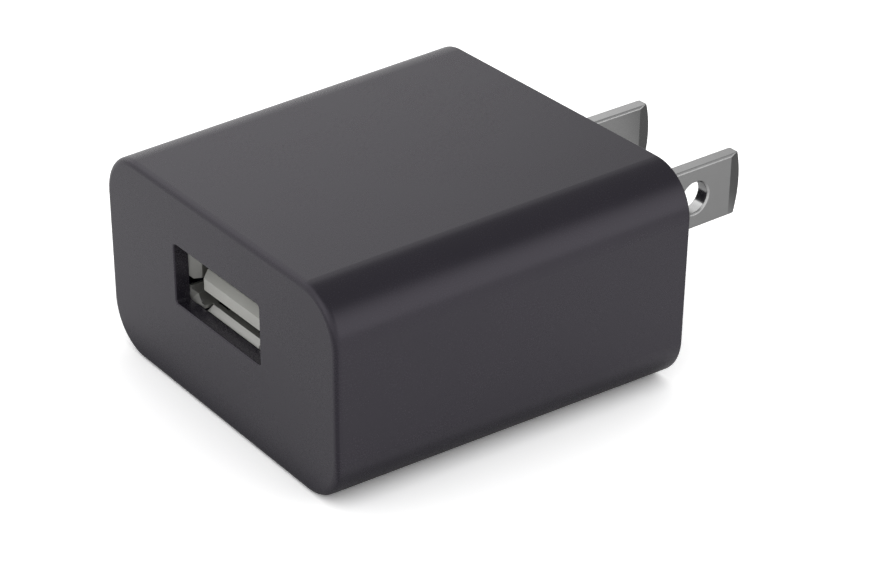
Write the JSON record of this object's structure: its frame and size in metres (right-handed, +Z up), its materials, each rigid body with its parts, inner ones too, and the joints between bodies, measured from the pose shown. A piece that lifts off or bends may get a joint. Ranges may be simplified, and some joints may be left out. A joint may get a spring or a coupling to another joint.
{
  "type": "usb wall charger",
  "caption": "Small block-shaped wall charger with flat fixed plug blades at one end and a USB-A socket at the other; turns mains into low-voltage DC.",
  "frame": {"origin": "centre of the plug face, which lies against the wall outlet", "axes": "+Y out of the plug face along the blades, +Z up with the body lying flat, +X to the right of somebody looking along +Y"},
  "size_m": [0.0366, 0.0534, 0.021],
  "materials": {
    "body_plastic": "fine moulded texture, matte charcoal",
    "nickel_plate": "satin nickel plating over brass",
    "shell_steel": "nickel-plated stamped steel",
    "tongue_plastic": "grey glass-filled nylon",
    "contact_gold": "gold-flashed spring bronze",
    "bronze_spring": "phosphor bronze strip",
    "board_laminate": "green solder mask",
    "solder": "bright solder",
    "ferrite": "sintered ferrite",
    "bobbin_nylon": "black moulded nylon",
    "copper_wire": "enamelled copper",
    "yellow_tape": "yellow polyester tape",
    "capacitor_sleeve": "shrunk sleeve over an aluminium can",
    "blue_ceramic": "blue epoxy coat",
    "chip_black": "black moulding epoxy",
    "chip_tan": "fired ceramic with tinned ends",
    "resistor_coat": "cement coat",
    "barrier_film": "translucent polyester film"
  },
  "bodies": {
    "charger_body": {"housing": "body_plastic", "rear_cover": "body_plastic", "blade_left": "nickel_plate", "blade_right": "nickel_plate", "blade_terminal_left": "bronze_spring", "blade_terminal_right": "bronze_spring", "main_board": "board_laminate", "solder_joints": "solder", "usb_shell": "shell_steel", "usb_insulator": "tongue_plastic", "usb_contact_tails": "contact_gold", "transformer_core": "ferrite", "transformer_bobbin": "bobbin_nylon", "transformer_pins": "solder", "primary_winding": "copper_wire", "winding_insulation": "yellow_tape", "secondary_winding": "copper_wire", "winding_wrap": "yellow_tape", "core_tape": "yellow_tape", "supply_capacitor": "capacitor_sleeve", "output_capacitor_1": "capacitor_sleeve", "output_capacitor_2": "capacitor_sleeve", "safety_capacitor": "blue_ceramic", "output_diode": "chip_black", "fuse_resistor": "resistor_coat", "input_choke_core": "ferrite", "input_choke_winding": "copper_wire", "bridge_rectifier": "chip_black", "controller_chip": "chip_black", "port_chip": "chip_black", "clamp_diode": "chip_black", "signal_diodes": "chip_black", "chip_resistors": "chip_black", "chip_capacitors": "chip_tan", "insulating_sheet": "barrier_film", "input_capacitor_1": "capacitor_sleeve", "input_capacitor_2": "capacitor_sleeve"},
    "contact_1": {"usb_contact_1": "contact_gold"},
    "contact_2": {"usb_contact_2": "contact_gold"},
    "contact_3": {"usb_contact_3": "contact_gold"},
    "contact_4": {"usb_contact_4": "contact_gold"},
    "finger_top_left": {"shell_finger_top_left": "shell_steel"},
    "finger_top_right": {"shell_finger_top_right": "shell_steel"},
    "finger_bottom_left": {"shell_finger_bottom_left": "shell_steel"},
    "finger_bottom_right": {"shell_finger_bottom_right": "shell_steel"}
  },
  "joints": [
    {"name": "contact_1_press", "type": "hinge", "parent": "charger_body", "child": "contact_1", "pos_m": [-0.0035, -0.02512, 0.0013], "axis": [1, 0, 0], "range_deg": [0, 3.5], "stiffness_Nm_per_rad": 0.1},
    {"name": "contact_2_press", "type": "hinge", "parent": "charger_body", "child": "contact_2", "pos_m": [-0.001, -0.02512, 0.0013], "axis": [1, 0, 0], "range_deg": [0, 3.5], "stiffness_Nm_per_rad": 0.1},
    {"name": "contact_3_press", "type": "hinge", "parent": "charger_body", "child": "contact_3", "pos_m": [0.001, -0.02512, 0.0013], "axis": [1, 0, 0], "range_deg": [0, 3.5], "stiffness_Nm_per_rad": 0.1},
    {"name": "contact_4_press", "type": "hinge", "parent": "charger_body", "child": "contact_4", "pos_m": [0.0035, -0.02512, 0.0013], "axis": [1, 0, 0], "range_deg": [0, 3.5], "stiffness_Nm_per_rad": 0.1},
    {"name": "finger_top_left_press", "type": "hinge", "parent": "charger_body", "child": "finger_top_left", "pos_m": [-0.00315, -0.0278, 0.00453], "axis": [-1, 0, 0], "range_deg": [0, 4], "stiffness_Nm_per_rad": 0.25},
    {"name": "finger_top_right_press", "type": "hinge", "parent": "charger_body", "child": "finger_top_right", "pos_m": [0.00315, -0.0278, 0.00453], "axis": [-1, 0, 0], "range_deg": [0, 4], "stiffness_Nm_per_rad": 0.25},
    {"name": "finger_bottom_left_press", "type": "hinge", "parent": "charger_body", "child": "finger_bottom_left", "pos_m": [-0.00315, -0.0278, -0.00089], "axis": [1, 0, 0], "range_deg": [0, 4], "stiffness_Nm_per_rad": 0.25},
    {"name": "finger_bottom_right_press", "type": "hinge", "parent": "charger_body", "child": "finger_bottom_right", "pos_m": [0.00315, -0.0278, -0.00089], "axis": [1, 0, 0], "range_deg": [0, 4], "stiffness_Nm_per_rad": 0.25}
  ]
}
